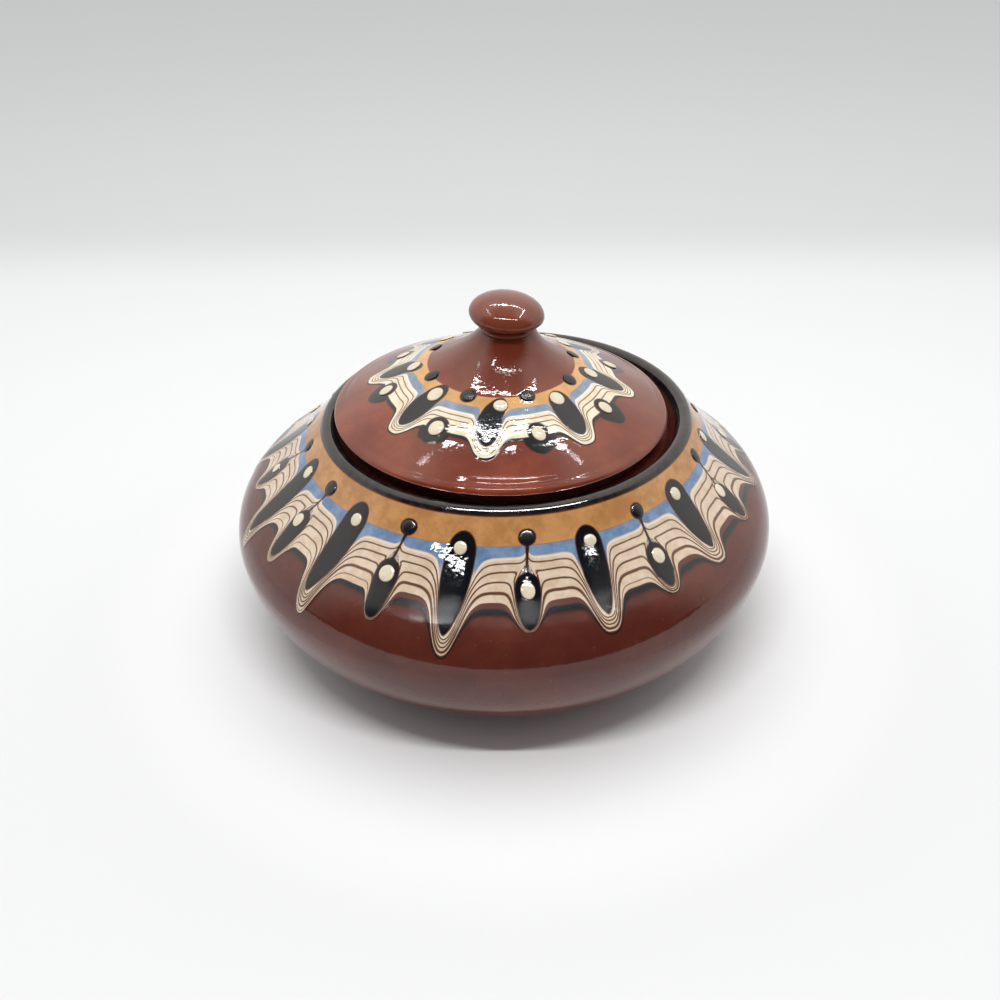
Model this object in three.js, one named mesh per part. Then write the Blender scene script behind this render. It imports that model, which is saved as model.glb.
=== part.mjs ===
// A lidded candy dish of glazed red earthenware: a squat thrown bowl with a gallery inside its rim, a bell-shaped
// lid that drops into the gallery, and a mushroom knob luted onto the lid. Millimetres, +Z up, origin on the table
// under the middle of the foot. The decorated side with the longest drip faces -Y.
import * as THREE from "three";

// Bowl, outside: two curves from the foot out to the belly, and from the belly in to the rim.
const bellyRadius = 82.5;
const bellyHeight = 34.6;
const footRadius = 46;
const footHeight = 2;
const rimRadius = 55.3;
const rimHeight = 69;
const underSlope = 4;
const underReach = 31.2;
const bellyReachDown = 4.3;
const bellyReachUp = 14.5;
const shoulderSlope = 54;
const shoulderReach = 21.6;

// Bowl, foot ring and wall.
const footRingWidth = 6;
const footRecess = 1.8;
const footBevel = 0.6;
const bowlWall = 5;
const floorThickness = 5.2;

// Bowl, rim and the gallery that carries the lid.
const rimWidth = 3.9;
const rimCrest = 1.3;
const galleryDepth = 3;
const galleryFlare = 2.6;
const ledgeWidth = 5.2;
const ledgeThickness = 3.8;
const ledgeUndercut = 1.5;

// Lid, outside: a dome rising to a bell-shaped neck, and a rounded lip that stands proud of the rim.
const lidRadius = 49.7;
const lipRise = 2.4;
const lipUnder = 1.2;
const lipBack = 1.1;
const lipRound = 1.3;
const domeStart = 3.1;
const domeRise = 2.3;
const domeSlope = 27;
const domeReach = 8;
const bellRadius = 25;
const bellRise = 15.6;
const bellSlope = 25;
const bellReach = 9;
const neckRadius = 7.9;
const neckRise = 28.2;
const neckSlope = 58;
const neckReach = 6.5;

// Lid, underside: the seat that rests on the ledge, the locating flange, and the hollow.
const seatMargin = 2.6;
const flangePlay = 2;
const flangeRestGap = 0.5;
const flangeDepth = 5;
const flangeThickness = 3.8;
const flangeBevel = 0.7;
const lidWall = 4.6;
const hollowCore = 9;

// Knob: a collar of clay round the joint, a crease, and a domed cap.
const collarHeight = 1.7;
const collarBulge = 0.6;
const creaseHeight = 0.4;
const capRadius = 10.9;
const capUnder = 2.4;
const capDome = 5.7;

const bowlSegments = 64;
const lidSegments = 64;
const knobSegments = 48;

const radians = THREE.MathUtils.degToRad;
const point = (x, y) => new THREE.Vector2(x, y);

// The points of a cubic curve that leaves `from` along `fromWay` and arrives at `to` from `toWay`.
function curve(from, fromWay, toWay, to, steps) {
  const shape = new THREE.CubicBezierCurve(from, from.clone().add(fromWay), to.clone().add(toWay), to);
  return shape.getPoints(steps);
}

// A way of the given length, at an angle in degrees above the outward horizontal.
function way(length, degrees) {
  return point(length * Math.cos(radians(degrees)), length * Math.sin(radians(degrees)));
}

// The points of an elliptical arc about a centre, between two angles in degrees.
function arc(centre, radiusAcross, radiusUp, startDegrees, endDegrees, steps) {
  const points = [];
  for (let i = 0; i <= steps; i++) {
    const angle = radians(startDegrees + ((endDegrees - startDegrees) * i) / steps);
    points.push(point(centre.x + radiusAcross * Math.cos(angle), centre.y + radiusUp * Math.sin(angle)));
  }
  return points;
}

// The same run of points moved to its left by a wall's thickness, as the eye travels along it.
function wallInside(points, thickness) {
  return points.map((here, i) => {
    const before = points[Math.max(i - 1, 0)];
    const after = points[Math.min(i + 1, points.length - 1)];
    const along = after.clone().sub(before).normalize();
    return point(here.x - along.y * thickness, here.y + along.x * thickness);
  });
}

// Leaves out a point that repeats the one before it, where two runs of points meet.
function joined(...runs) {
  return runs.flat().filter((here, i, all) => i === 0 || here.distanceTo(all[i - 1]) > 1e-4);
}

function turned(name, profile, segments, material) {
  const geometry = new THREE.LatheGeometry(profile, segments);
  geometry.rotateX(Math.PI / 2);
  const mesh = new THREE.Mesh(geometry, material);
  mesh.name = name;
  return mesh;
}

const redwareGlaze = new THREE.MeshStandardMaterial({ color: 0x7a3526, roughness: 0.14, metalness: 0 });
const lidGlaze = new THREE.MeshStandardMaterial({ color: 0x7e3828, roughness: 0.14, metalness: 0 });
const knobGlaze = new THREE.MeshStandardMaterial({ color: 0x803a29, roughness: 0.12, metalness: 0 });

// Bowl.
const rimInnerRadius = rimRadius - rimWidth;
const ledgeHeight = rimHeight - galleryDepth;
const ledgeOuterRadius = rimInnerRadius - galleryFlare;
const mouthRadius = ledgeOuterRadius - ledgeWidth;
const ledgeUnderHeight = ledgeHeight - ledgeThickness;

const belly = point(bellyRadius, bellyHeight);
const underside = curve(
  point(footRadius, footHeight), way(underReach, underSlope),
  point(0, -bellyReachDown), belly, 11,
);
const shoulder = curve(
  belly, point(0, bellyReachUp),
  way(shoulderReach, -shoulderSlope), point(rimRadius, rimHeight), 11,
);
const rim = arc(point(rimRadius - rimWidth / 2, rimHeight), rimWidth / 2, rimCrest, 0, 180, 6);
const foot = [
  point(0, footRecess),
  point(footRadius - footRingWidth, footRecess),
  point(footRadius - footRingWidth + footBevel, 0),
  point(footRadius - footBevel, 0),
  point(footRadius, footBevel),
];
const gallery = [
  point(ledgeOuterRadius, ledgeHeight),
  point(mouthRadius, ledgeHeight),
  point(mouthRadius, ledgeUnderHeight),
];
const floorHeight = footRecess + floorThickness;
const innerWall = wallInside(joined(underside, shoulder), bowlWall)
  .filter((p) => p.y > floorHeight && p.y < ledgeUnderHeight - ledgeUndercut)
  .reverse();
const floor = [point(footRadius - bowlWall, floorHeight), point(0, floorHeight)];
const bowl = turned(
  "bowl",
  joined(foot, underside, shoulder, rim, gallery, innerWall, floor),
  bowlSegments,
  redwareGlaze,
);

// Lid, about its own axis, with its seat on the ledge.
const seatHeight = ledgeHeight;
const seatRadius = ledgeOuterRadius - seatMargin;
const flangeRadius = mouthRadius - flangePlay;
const flangeInnerRadius = flangeRadius - flangeThickness;
const flangeFoot = seatHeight - flangeDepth;
const lipHeight = rimHeight + lipRise;
const neckHeight = rimHeight + neckRise;

const domeEdge = point(lidRadius - domeStart, lipHeight + domeRise);
const bellPoint = point(bellRadius, rimHeight + bellRise);
const neckPoint = point(neckRadius, neckHeight);
const lip = [
  point(seatRadius, seatHeight),
  point(lidRadius - lipBack, lipHeight - lipUnder),
  point(lidRadius, lipHeight),
];
const lipTop = curve(point(lidRadius, lipHeight), point(0, lipRound), way(lipRound, -domeSlope), domeEdge, 4);
const dome = curve(domeEdge, way(domeReach, 180 - domeSlope), way(domeReach, -bellSlope), bellPoint, 5);
const bell = curve(bellPoint, way(bellReach, 180 - bellSlope), way(neckReach, -neckSlope), neckPoint, 8);
const hollow = wallInside(joined(dome, bell), lidWall)
  .filter((p) => p.x > hollowCore && p.x < flangeInnerRadius)
  .reverse();
const hollowTop = hollow[0];
const hollowEdge = hollow[hollow.length - 1];
const hollowRun = joined([point(0, hollowTop.y)], hollow, [point(flangeInnerRadius, hollowEdge.y)]);
const flange = [
  point(flangeInnerRadius, flangeFoot + flangeBevel),
  point(flangeInnerRadius + flangeBevel, flangeFoot),
  point(flangeRadius - flangeBevel, flangeFoot),
  point(flangeRadius, flangeFoot + flangeBevel),
  point(flangeRadius, seatHeight),
];
const lid = turned(
  "lid",
  joined(hollowRun, flange, lip, lipTop, dome, bell, [point(0, neckHeight)]),
  lidSegments,
  lidGlaze,
);

// Knob, standing on the flat top of the neck.
const creaseLow = neckHeight + collarHeight;
const creaseHigh = creaseLow + creaseHeight;
const capHeight = creaseHigh + capUnder;
const capInset = capRadius - neckRadius;
const collar = arc(
  point(neckRadius, neckHeight + collarHeight / 2), collarBulge, collarHeight / 2, -90, 90, 4,
);
const capUnderside = arc(point(neckRadius, capHeight), capInset, capUnder, -90, 0, 4);
const capTop = arc(point(0, capHeight), capRadius, capDome, 0, 90, 8);
const knob = turned(
  "lid_knob",
  joined([point(0, neckHeight)], collar, [point(neckRadius, creaseHigh)], capUnderside, capTop),
  knobSegments,
  knobGlaze,
);

// The lid has slid to one side of its play in the gallery, as it lies in use, and carries its knob with it.
const lidAssembly = new THREE.Group();
lidAssembly.position.x = flangeRestGap - flangePlay;
lidAssembly.add(lid, knob);

const candyDish = new THREE.Group();
candyDish.add(bowl, lidAssembly);

export default candyDish;
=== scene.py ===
import math

import bpy
import numpy as np
from mathutils import Matrix, Vector


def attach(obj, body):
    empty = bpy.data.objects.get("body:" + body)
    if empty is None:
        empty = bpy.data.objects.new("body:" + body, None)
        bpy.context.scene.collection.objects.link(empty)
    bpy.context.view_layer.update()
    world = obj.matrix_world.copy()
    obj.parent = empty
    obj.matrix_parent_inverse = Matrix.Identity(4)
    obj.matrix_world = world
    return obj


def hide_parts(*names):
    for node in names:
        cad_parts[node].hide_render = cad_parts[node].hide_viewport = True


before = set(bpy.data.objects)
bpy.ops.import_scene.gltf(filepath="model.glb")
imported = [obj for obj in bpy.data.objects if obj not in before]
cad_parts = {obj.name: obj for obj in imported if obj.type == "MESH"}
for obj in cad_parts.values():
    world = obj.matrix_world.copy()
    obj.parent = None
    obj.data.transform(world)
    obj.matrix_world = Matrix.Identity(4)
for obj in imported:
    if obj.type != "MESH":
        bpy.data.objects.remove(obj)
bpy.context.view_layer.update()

scene = bpy.context.scene
scene.view_settings.view_transform = "Standard"
MM = 0.001


# The camera looks down on the dish from the front, on a 45 mm lens, with the dish a little above the middle
# of the picture.
def rotated(first, second, angle):
    """Two directions at right angles, turned together so that the first goes towards the second."""
    cos, sin = math.cos(angle), math.sin(angle)
    return cos * first + sin * second, cos * second - sin * first


looks_down, roll, pitch, yaw = (math.radians(angle) for angle in (29.185, -0.248, 3.984, 0.27))
right = Vector((1, 0, 0))
upward = Vector((0, math.sin(looks_down), math.cos(looks_down)))
ahead = Vector((0, math.cos(looks_down), -math.sin(looks_down)))
right, upward = rotated(right, upward, roll)
upward, ahead = rotated(upward, ahead, pitch)
right, ahead = rotated(right, ahead, yaw)
camera = bpy.data.objects.new("camera", bpy.data.cameras.new("camera"))
camera.data.lens = 45
camera.data.sensor_width = 36
camera.data.clip_start = 0.01
camera.matrix_world = Matrix((right, upward, -ahead)).transposed().to_4x4()
camera.matrix_world.translation = (0.0, -0.3296, 0.2531)
scene.collection.objects.link(camera)
scene.camera = camera


# The dish stands in a small light tent: a white floor, pale walls to the sides and behind, a dim front where
# the camera looks in, and thin strips of light across the top.
def add(tree, kind, inputs=None, **settings):
    """Adds a node with its settings and its inputs' values or links, and returns what comes out of it."""
    node = tree.nodes.new(kind)
    for name, value in settings.items():
        setattr(node, name, value)
    for name, value in (inputs or {}).items():
        if isinstance(value, bpy.types.NodeSocket):
            tree.links.new(value, node.inputs[name])
        else:
            node.inputs[name].default_value = value
    return node.outputs


def maths(tree, operation, first, second=0.0, third=0.0):
    return add(tree, "ShaderNodeMath", {0: first, 1: second, 2: third}, operation=operation)[0]


def times(tree, first, second):
    return maths(tree, "MULTIPLY", first, second)


def parts_of(tree, vector):
    return add(tree, "ShaderNodeSeparateXYZ", {0: vector})


def ramp_up(tree, value, low, high):
    """A smooth step from 0 at low to 1 at high."""
    inputs = {"Value": value, "From Min": low, "From Max": high}
    return add(tree, "ShaderNodeMapRange", inputs, interpolation_type="SMOOTHSTEP")["Result"]


def blended(tree, mask, under, over):
    inputs = {"Factor": mask, 6: under, 7: over}
    return add(tree, "ShaderNodeMix", inputs, data_type="RGBA", clamp_factor=True)[2]


def layered(tree, under, *coats):
    """Coats laid one over another, each given as the mask of where it covers and its colour."""
    for mask, coat in coats:
        under = blended(tree, mask, under, coat)
    return under


def grey(level):
    return (level, level, level, 1.0)


def colour(red, green, blue):
    """A colour as a screen shows it, from 0 to 255, as the light it gives."""
    channels = [channel / 255 for channel in (red, green, blue)]
    linear = [c / 12.92 if c <= 0.04045 else ((c + 0.055) / 1.055) ** 2.4 for c in channels]
    return (*linear, 1.0)


def named_material(name):
    material = bpy.data.materials.new(name)
    material.use_nodes = True
    tree = material.node_tree
    return material, tree, tree.nodes["Principled BSDF"]


# The floor's paper is painted paler round the dish, a painted pool of light, and is darker towards the back.
# In the glaze's reflections its near end is painted dark and its far end glows, as painted reflections.
floor_half = 6.0
floor_mesh = bpy.data.meshes.new("floor")
floor_mesh.from_pydata(
    [(x * floor_half, y * floor_half, 0) for x, y in ((-1, -1), (1, -1), (1, 1), (-1, 1))],
    [], [(0, 1, 2, 3)],
)
floor = bpy.data.objects.new("floor", floor_mesh)
scene.collection.objects.link(floor)
floor_paper, tree, surface = named_material("white floor")
place = add(tree, "ShaderNodeTexCoord")["Object"]
back = parts_of(tree, place)["Y"]
from_dish = add(tree, "ShaderNodeVectorMath", {0: place}, operation="LENGTH")["Value"]
near_end = ramp_up(tree, back, -0.195, -0.235)
reflected = add(tree, "ShaderNodeLightPath")["Is Glossy Ray"]
paper_and_painted_light = layered(
    tree, grey(0.93),
    # Painted light: the paper is paler round the dish, a painted pool of light.
    (ramp_up(tree, from_dish, 0.095, 0.140),
     blended(tree, ramp_up(tree, back, 0.22, -0.20), grey(0.915), grey(0.78))),
    (ramp_up(tree, back, 0.25, 0.34), grey(0.79)),
    (ramp_up(tree, back, 0.30, 0.52), grey(0.81)),
    # Painted reflection: the near end is dark only where the glaze reflects it.
    (times(tree, near_end, reflected), grey(0.03)),
)
tree.links.new(paper_and_painted_light, surface.inputs["Base Color"])
surface.inputs["Roughness"].default_value = 1.0
surface.inputs["Specular IOR Level"].default_value = 0.0
far_end = maths(tree, "SUBTRACT", ramp_up(tree, from_dish, 0.30, 1.20), near_end)
far_glow = times(tree, maths(tree, "MAXIMUM", far_end, 0.0), reflected)
surface.inputs["Emission Color"].default_value = (1.0, 0.97, 0.95, 1.0)
tree.links.new(times(tree, far_glow, 0.45), surface.inputs["Emission Strength"])
floor_mesh.materials.append(floor_paper)

world = bpy.data.worlds.new("light tent")
world.use_nodes = True
scene.world = world
tree = world.node_tree
way = parts_of(tree, add(tree, "ShaderNodeTexCoord")["Generated"])
walls = layered(
    tree, (1.06, 1.02, 0.97, 1.0),
    (ramp_up(tree, way["Z"], 0.10, 0.40), (1.31, 1.24, 1.16, 1.0)),
    (ramp_up(tree, way["Z"], 0.60, 0.80), (1.68, 1.58, 1.46, 1.0)),
    (ramp_up(tree, way["Z"], 0.88, 0.98), grey(0.6)),
    (ramp_up(tree, way["Y"], 0.05, -0.45), grey(0.04)),
)
cloth = blended(tree, ramp_up(tree, way["Y"], 0.25, -0.55), (0.96, 0.97, 0.975, 1.0), grey(0.18))
rays = add(tree, "ShaderNodeLightPath")
tent = blended(tree, rays["Is Glossy Ray"], cloth, walls)
seen = blended(tree, rays["Is Camera Ray"], tent, grey(0.72))
tree.links.new(seen, tree.nodes["Background"].inputs["Color"])

strip_height = 0.250
lamp_spacing = 0.0035


def strip(name, place, size, light, turn=0.0, height=strip_height, diffuse=False):
    """A light that faces the floor, with its radiance in plain units: a row of lamps, or a diffuse panel."""
    lamp = bpy.data.lights.new(name, "AREA")
    lamp.shape = "RECTANGLE"
    lamp.size, lamp.size_y = size
    lamp.energy = light * math.pi * size[0] * size[1]
    if not diffuse:
        lamp.use_nodes = True
        tree = lamp.node_tree
        across = parts_of(tree, add(tree, "ShaderNodeTexCoord")["UV"])
        along = times(tree, across["X" if size[0] > size[1] else "Y"], max(size) / lamp_spacing)
        lit = ramp_up(tree, maths(tree, "PINGPONG", along, 0.5), 0.30, 0.20)
        tree.links.new(times(tree, lit, 2.0), tree.nodes["Emission"].inputs["Strength"])
    lamp_object = bpy.data.objects.new(name, lamp)
    lamp_object.location = (*place, height)
    lamp_object.rotation_euler = (0, 0, math.radians(turn))
    lamp_object.visible_camera = False
    lamp_object.visible_diffuse = diffuse
    lamp_object.visible_glossy = not diffuse
    scene.collection.objects.link(lamp_object)
    return lamp_object


strip("panel overhead", (0.0, 0.02), (0.60, 0.50), 0.57, height=0.52, diffuse=True)
strip("row of lights overhead", (0.0, -0.358), (0.60, 0.03), 77, height=0.90, diffuse=True)
bowl_strips = [
    strip("front strip, left", (-0.112, -0.180), (0.075, 0.008), 40),
    strip("front strip, middle", (0.029, -0.183), (0.008, 0.006), 40),
    strip("front strip, right", (0.160, -0.171), (0.020, 0.008), 40),
    strip("rim strip", (0.015, -0.090), (0.190, 0.050), 60),
]
lid_strips = [
    strip("middle strip", (0.000, -0.010), (0.040, 0.004), 50),
    strip("middle strip, left", (-0.048, 0.001), (0.062, 0.004), 50, turn=-20),
    strip("middle strip, right", (0.055, 0.006), (0.074, 0.005), 50, turn=15),
    strip("side patch, left", (-0.099, 0.008), (0.014, 0.006), 8),
    strip("side patch, right", (0.100, 0.012), (0.012, 0.006), 12),
    strip("lip strip", (0.020, -0.036), (0.115, 0.0015), 14),
    strip("neck strip", (0.010, -0.045), (0.080, 0.004), 35),
    strip("neck strip, left", (-0.052, -0.056), (0.006, 0.030), 40),
]
knob_strips = [
    strip("knob front strip", (0.010, -0.075), (0.170, 0.005), 45),
    strip("knob back strip", (0.015, 0.090), (0.150, 0.005), 45),
    strip("knob right strip", (0.100, 0.030), (0.005, 0.120), 45),
    strip("knob left strip", (-0.080, 0.010), (0.005, 0.100), 12),
]


# The bowl is thrown from red earthenware with a turned foot, and a gallery cut inside its rim for the lid.
# Slips are trailed round the shoulder and dragged into drips while wet, and the whole is fired under a clear
# glossy glaze. Its lines are in millimetres, out from the axis and up from the table.
def at(*place):
    return np.array(place, float)


def reach(length, degrees):
    return length * at(math.cos(math.radians(degrees)), math.sin(math.radians(degrees)))


def bend(start, start_reach, end_reach, end, steps):
    """The points of a curve from start to end, with a handle at either end."""
    t = np.linspace(0, 1, steps + 1)[:, None]
    handles = 3 * (1 - t) ** 2 * t * (start + start_reach) + 3 * (1 - t) * t**2 * (end + end_reach)
    return (1 - t) ** 3 * start + handles + t**3 * end


def arc(centre, half_width, half_height, start, end, points):
    """Points on an oval about a centre, from one angle to another in degrees."""
    angles = np.radians(np.linspace(start, end, points))
    return at(*centre) + np.column_stack([half_width * np.cos(angles), half_height * np.sin(angles)])


def lengths(points):
    return np.concatenate([[0], np.cumsum(np.hypot(*np.diff(points, axis=0).T))])


def down_from(line, row):
    """How far down its line each point of a profile lies from one of its rows."""
    return lengths(line)[row] - lengths(line)


def sloped(start, end, marks, falls):
    """A line from start to end that falls away by so many degrees at each mark along its length."""
    fall = np.radians(np.interp(np.arange(0, marks[-1], 0.2), marks, falls))
    points = np.cumsum(np.column_stack([np.cos(fall), -np.sin(fall)]), axis=0)
    points -= points[0]
    return start + points * (end - start) / points[-1]


def spaced(points, step):
    """The same line with its points an even step apart."""
    run = lengths(points)
    marks = np.linspace(0, run[-1], max(2, round(run[-1] / step) + 1))
    return np.column_stack([np.interp(marks, run, points[:, 0]), np.interp(marks, run, points[:, 1])])


def softened(corners, ease):
    """A line through corners, with each corner rounded off as wet clay is."""
    corners = [at(*corner) for corner in corners]
    points = [corners[0]]
    for before, corner, after in zip(corners, corners[1:], corners[2:]):
        ways = (before - corner, after - corner)
        near, far = (corner + way * min(ease, 0.45 * np.hypot(*way)) / np.hypot(*way) for way in ways)
        for t in np.linspace(0, 1, 4):
            points.append((1 - t) ** 2 * near + 2 * t * (1 - t) * corner + t**2 * far)
    return np.array(points + [corners[-1]])


def inward(points, thickness):
    """The inside of a wall: each point moved to the left of the line by the thickness."""
    along = np.gradient(points, axis=0)
    along /= np.hypot(*along.T)[:, None]
    return points + thickness * np.column_stack([-along[:, 1], along[:, 0]])


bowl_wall = 5.0
rim_radius, rim_height = 55.3, 69.0
rim_edge = at(rim_radius, rim_height)
belly = at(82.5, 34.6)
underside = bend(at(46, 2), reach(31.2, 4), at(0, -4.3), belly, 200)
shoulder = sloped(
    rim_edge, belly,
    [0, 4, 8, 12, 16, 20, 24, 28, 29.6, 30.8, 33, 37, 41, 45],
    [54, 50.7, 47.3, 44.3, 41.9, 40.2, 39.0, 38.4, 40.5, 47, 52, 64, 78, 90],
)[::-1]
bowl_inside = inward(np.concatenate([underside, shoulder[1:]]), bowl_wall)
bowl_inside = bowl_inside[(bowl_inside[:, 1] > 7.6) & (bowl_inside[:, 1] < 60.7)][::-1]
foot_line = [(0, 1.8), (24, 1.8), (40, 1.8), (40.6, 0), (45.4, 0), (46, 0.6), (46, 2), (48.4, 2.2)]
gallery = [(51.4, rim_height), (48.8, 66), (43.6, 66), (43.6, 62.2), bowl_inside[0]]
bowl_line = np.concatenate([
    softened(foot_line, 0.5)[:-1],
    spaced(underside[underside[:, 0] > 48.4], 3.4)[:-1],
    spaced(shoulder, 0.93)[:-1],
    arc((53.35, rim_height), 1.95, 1.3, 0, 180, 8)[:-1],
    softened(gallery, 0.6)[:-1],
    spaced(bowl_inside, 6.0),
    [(40.4, 7), (20, 7), (0, 7)],
])
rim_row = int(np.argmin(np.hypot(*(bowl_line - rim_edge).T)))
bowl_down = down_from(bowl_line, rim_row)


def new_group(name, inputs, outputs, kind="ShaderNodeTree"):
    """A node group, with the names of its sockets listed by their kind, and what comes in through them."""
    tree = bpy.data.node_groups.new(name, kind)
    for in_out, kinds in (("INPUT", inputs), ("OUTPUT", outputs)):
        for socket_kind, names in kinds.items():
            for socket in names:
                tree.interface.new_socket(socket, in_out=in_out, socket_type="NodeSocket" + socket_kind)
    return tree, add(tree, "NodeGroupInput")


def new_maker(name, *counts):
    """A geometry tree that works on a geometry, with two counts and a material."""
    inputs = {"Geometry": ["Geometry"], "Int": counts, "Material": ["Material"]}
    return new_group(name, inputs, {"Geometry": ["Geometry"]}, "GeometryNodeTree")


def marked(tree, geometry, name, value):
    """Keeps a value on each point of a geometry."""
    inputs = {"Geometry": geometry, "Name": name, "Value": value}
    return add(tree, "GeometryNodeStoreNamedAttribute", inputs, data_type="FLOAT", domain="POINT")[0]


def mark_of(tree, name, kind):
    return add(tree, "GeometryNodeInputNamedAttribute", {"Name": name}, data_type=kind)["Attribute"]


def complete(tree, geometry, material):
    """The last nodes of a geometry tree: its geometry made real, smooth and of one material."""
    real = add(tree, "GeometryNodeRealizeInstances", {"Geometry": geometry})[0]
    smooth = add(tree, "GeometryNodeSetShadeSmooth", {"Geometry": real})[0]
    done = add(tree, "GeometryNodeSetMaterial", {"Geometry": smooth, "Material": material})[0]
    add(tree, "NodeGroupOutput", {"Geometry": done})


# Geometry nodes that turn the line of a profile about the upright axis, as the wheel does.
wheel, given = new_maker("turned on the wheel", "Columns", "Rows")
counts = {"Vertices X": maths(wheel, "ADD", given["Columns"], 1.0), "Vertices Y": given["Rows"]}
sheet = add(wheel, "GeometryNodeMeshGrid", {"Size X": 1.0, "Size Y": 1.0, **counts})["Mesh"]
position = add(wheel, "GeometryNodeInputPosition")[0]
on_sheet = parts_of(wheel, position)
turn = times(wheel, on_sheet["X"], 2 * math.pi)
share = maths(wheel, "ADD", on_sheet["Y"], 0.5)
row = maths(wheel, "ROUND", times(wheel, share, maths(wheel, "SUBTRACT", given["Rows"], 1.0)))
row_down, row_place = (
    add(wheel, "GeometryNodeSampleIndex", {"Geometry": given["Geometry"], "Value": value, "Index": row},
        data_type=kind)["Value"]
    for value, kind in ((mark_of(wheel, "down", "FLOAT"), "FLOAT"), (position, "FLOAT_VECTOR"))
)
on_profile = parts_of(wheel, row_place)
forward = times(wheel, on_profile["X"], maths(wheel, "COSINE", turn))
place = add(wheel, "ShaderNodeCombineXYZ", {
    "X": times(wheel, on_profile["X"], maths(wheel, "SINE", turn)),
    "Y": times(wheel, forward, -1.0),
    "Z": on_profile["Z"],
})[0]
sheet = marked(wheel, sheet, "down", row_down)
wrapped = add(wheel, "GeometryNodeSetPosition", {"Geometry": sheet, "Position": place})[0]
weld = 2e-6
closed = add(wheel, "GeometryNodeMergeByDistance", {"Geometry": wrapped, "Distance": weld})[0]
complete(wheel, closed, given["Material"])


def made_by(tree, name, source_mesh, **inputs):
    """Runs a geometry tree on a mesh and returns what it makes as a plain object."""
    source = bpy.data.objects.new(name + " pattern", source_mesh)
    scene.collection.objects.link(source)
    modifier = source.modifiers.new(name, "NODES")
    modifier.node_group = tree
    named = {item.name: item.identifier for item in tree.interface.items_tree if item.in_out == "INPUT"}
    for label, value in inputs.items():
        modifier[named[label]] = value
    bpy.context.view_layer.update()
    evaluated = source.evaluated_get(bpy.context.evaluated_depsgraph_get())
    mesh = bpy.data.meshes.new_from_object(evaluated)
    bpy.data.objects.remove(source)
    mesh.name = name
    piece = bpy.data.objects.new(name, mesh)
    scene.collection.objects.link(piece)
    return piece


def keep_fields(mesh, **fields):
    for name, values in fields.items():
        mesh.attributes.new(name, "FLOAT", "POINT").data.foreach_set("value", values.astype(np.float32))


def thrown(name, line, line_down, columns, material):
    """A turned piece, with each point's distance down its line kept on the mesh."""
    profile = bpy.data.meshes.new(name + " line")
    edges = [(i, i + 1) for i in range(len(line) - 1)]
    profile.from_pydata([(r * MM, 0, z * MM) for r, z in line], edges, [])
    keep_fields(profile, down=line_down)
    return made_by(wheel, name, profile, Columns=columns, Rows=len(line), Material=material)


def points_of(piece):
    """A thrown piece's points in millimetres, and their normals, distances down and turns in degrees."""
    vertices = piece.data.vertices
    places, normals = (np.zeros(len(vertices) * 3, np.float32) for _ in range(2))
    vertices.foreach_get("co", places)
    vertices.foreach_get("normal", normals)
    downs = np.zeros(len(vertices), np.float32)
    piece.data.attributes["down"].data.foreach_get("value", downs)
    places = places.astype(float).reshape(-1, 3) / MM
    turns = np.degrees(np.arctan2(places[:, 0], -places[:, 1]))
    return places, normals.astype(float).reshape(-1, 3), downs.astype(float), turns


def move_points(piece, places):
    piece.data.vertices.foreach_set("co", (places * MM).astype(np.float32).ravel())
    piece.data.update()


def outside_of(line, line_down, top_row):
    """The radius and the height of a piece's outside, each as a function of the distance down it."""
    outer_down, outer = line_down[top_row::-1], line[top_row::-1]
    return [lambda down, column=column: np.interp(down, outer_down, outer[:, column]) for column in (0, 1)]


def step(values, low, high):
    share = np.clip((values - low) / (high - low), 0, 1)
    return share * share * (3 - 2 * share)


def apart(first, second):
    """Degrees from the second turn to the first, the short way round."""
    return (first - second + 180) % 360 - 180


def to_outline(outline, across, down):
    """Millimetres from points to a closed outline, less than zero inside it."""
    nearest = np.full(across.shape, 1e9)
    inside = np.zeros(across.shape, bool)
    for (x0, y0), (x1, y1) in zip(outline, np.roll(outline, -1, axis=0)):
        run_x, run_y = x1 - x0, y1 - y0
        share = ((across - x0) * run_x + (down - y0) * run_y) / (run_x**2 + run_y**2 + 1e-12)
        share = np.clip(share, 0, 1)
        nearest = np.minimum(nearest, np.hypot(across - x0 - share * run_x, down - y0 - share * run_y))
        crosses = (y0 > down) != (y1 > down)
        with np.errstate(divide="ignore", invalid="ignore"):
            at_x = x0 + (down - y0) * run_x / (y1 - y0)
        inside ^= crosses & (across < at_x)
    return np.where(inside, -nearest, nearest)


# Each big drip: degrees round from the front at its head and its tip, then millimetres down from the rim to
# the top of the black, its tip and the slips' tip, then in degrees the black's half width and how far the
# slips are pulled in from the left and the right, and how square the pull is.
bowl_big_drips = [
    (-98.5, -98.9, 4.2, 33.4, 38.9, 3.55, 3.0, 3.0, 2.3),
    (-69.8, -70.5, 4.2, 34.2, 39.9, 3.55, 2.9, 2.9, 2.2),
    (-41.9, -43.6, 4.2, 32.9, 40.0, 3.55, 2.95, 2.9, 2.2),
    (-10.8, -11.8, 4.6, 32.9, 38.4, 3.60, 3.5, 3.4, 2.2),
    (20.85, 21.0, 5.2, 29.7, 34.4, 3.36, 3.5, 3.46, 2.9),
    (51.9, 52.2, 3.4, 25.6, 30.4, 3.85, 4.2, 3.5, 2.7),
    (82.0, 85.0, 3.3, 27.5, 30.6, 3.70, 3.9, 3.6, 2.4),
]
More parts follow.
